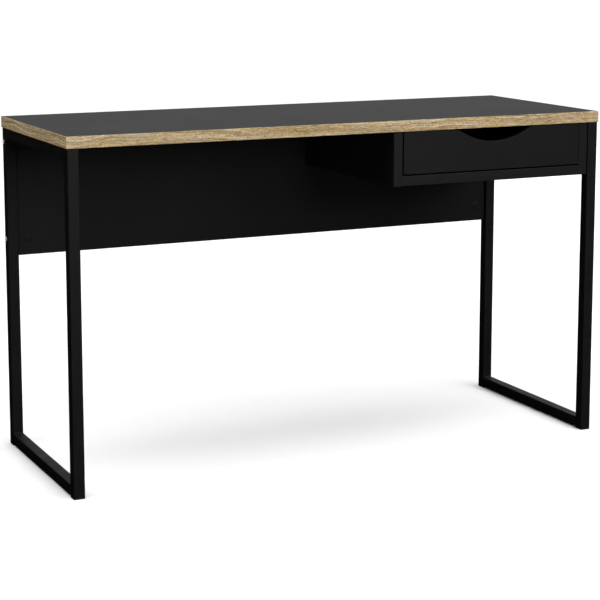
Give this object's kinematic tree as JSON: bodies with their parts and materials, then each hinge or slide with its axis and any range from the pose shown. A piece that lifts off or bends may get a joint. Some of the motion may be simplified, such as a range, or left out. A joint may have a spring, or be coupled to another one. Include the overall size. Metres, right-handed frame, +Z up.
{
  "type": "writing desk",
  "caption": "Writing desk with a banded board top on square-tube side frames, a modesty panel and an inset drawer with a scooped finger grip.",
  "frame": {"origin": "on the floor under the middle of the top", "axes": "+X to the sitter's right along the desk, +Y away from the sitter to the back, +Z up; the drawer opens towards -Y"},
  "size_m": [1.3, 0.48, 0.768],
  "materials": {
    "black_laminate": "satin black melamine on particle board",
    "black_hardboard": "smooth black lacquered hardboard",
    "oak_edge": "light oak edge band, matt, fine straight grain",
    "beech": "plain turned beech",
    "black_powder_coat": "matt black powder coat, fine texture",
    "runner_coat": "light grey epoxy coat, smooth",
    "black_edging": "thin black plastic edging, satin",
    "black_plastic": "moulded black polypropylene",
    "nylon": "natural white nylon",
    "zinc_steel": "bright zinc plate"
  },
  "bodies": {
    "desk": {"cabinet_bottom": "black_laminate", "cabinet_cam_bolts": "zinc_steel", "cabinet_cam_locks": "zinc_steel", "cabinet_dowels": "beech", "cabinet_edging": "black_edging", "cabinet_left_side": "black_laminate", "cabinet_right_side": "black_laminate", "cabinet_roller_axles": "zinc_steel", "cabinet_runner_screws": "zinc_steel", "left_bottom_rail": "black_powder_coat", "left_cabinet_runner": "runner_coat", "left_front_foot": "black_plastic", "left_front_leg": "black_powder_coat", "left_rear_foot": "black_plastic", "left_rear_leg": "black_powder_coat", "left_top_rail": "black_powder_coat", "modesty_barrel_nuts": "zinc_steel", "modesty_bolts": "zinc_steel", "modesty_cover_caps": "black_plastic", "modesty_dowels": "beech", "modesty_edging": "black_edging", "modesty_panel": "black_laminate", "right_bottom_rail": "black_powder_coat", "right_cabinet_runner": "runner_coat", "right_front_foot": "black_plastic", "right_front_leg": "black_powder_coat", "right_rear_foot": "black_plastic", "right_rear_leg": "black_powder_coat", "right_top_rail": "black_powder_coat", "tabletop_board": "black_laminate", "tabletop_edge_front": "oak_edge", "tabletop_edge_left": "oak_edge", "tabletop_edge_rear": "oak_edge", "tabletop_edge_right": "oak_edge", "tabletop_inserts": "zinc_steel", "tabletop_screws": "zinc_steel"},
    "drawer": {"drawer_front_edging": "black_edging", "drawer_box_edging": "black_edging", "drawer_front": "black_laminate", "drawer_left_side": "black_laminate", "drawer_right_side": "black_laminate", "drawer_back": "black_laminate", "drawer_bottom": "black_hardboard", "drawer_cam_locks": "zinc_steel", "drawer_cam_bolts": "zinc_steel", "drawer_dowels": "beech", "drawer_back_screws": "zinc_steel", "drawer_bottom_screws": "zinc_steel", "left_drawer_runner": "runner_coat", "right_drawer_runner": "runner_coat", "drawer_runner_screws": "zinc_steel", "drawer_roller_axles": "zinc_steel"},
    "left_cabinet_roller": {"left_cabinet_roller": "nylon"},
    "right_cabinet_roller": {"right_cabinet_roller": "nylon"},
    "left_drawer_roller": {"left_drawer_roller": "nylon"},
    "right_drawer_roller": {"right_drawer_roller": "nylon"}
  },
  "joints": [
    {"name": "drawer_slide", "type": "slide", "parent": "desk", "child": "drawer", "axis": [0, -1, 0], "range_m": [0, 0.28]},
    {"name": "left_cabinet_roller_spin", "type": "hinge", "parent": "desk", "child": "left_cabinet_roller", "pos_m": [0.1379, -0.206, 0.6555], "axis": [1, 0, 0], "continuous": true},
    {"name": "right_cabinet_roller_spin", "type": "hinge", "parent": "desk", "child": "right_cabinet_roller", "pos_m": [0.5931, -0.206, 0.6555], "axis": [1, 0, 0], "continuous": true},
    {"name": "left_drawer_roller_spin", "type": "hinge", "parent": "drawer", "child": "left_drawer_roller", "pos_m": [0.1372, 0.1514, 0.6573], "axis": [1, 0, 0], "continuous": true},
    {"name": "right_drawer_roller_spin", "type": "hinge", "parent": "drawer", "child": "right_drawer_roller", "pos_m": [0.5938, 0.1514, 0.6573], "axis": [1, 0, 0], "continuous": true}
  ],
  "couplings": [
    {"joint": "left_cabinet_roller_spin", "follows": "drawer_slide", "rad_per_m": 111.11},
    {"joint": "right_cabinet_roller_spin", "follows": "drawer_slide", "rad_per_m": 111.11},
    {"joint": "left_drawer_roller_spin", "follows": "drawer_slide", "rad_per_m": 111.11},
    {"joint": "right_drawer_roller_spin", "follows": "drawer_slide", "rad_per_m": 111.11}
  ]
}
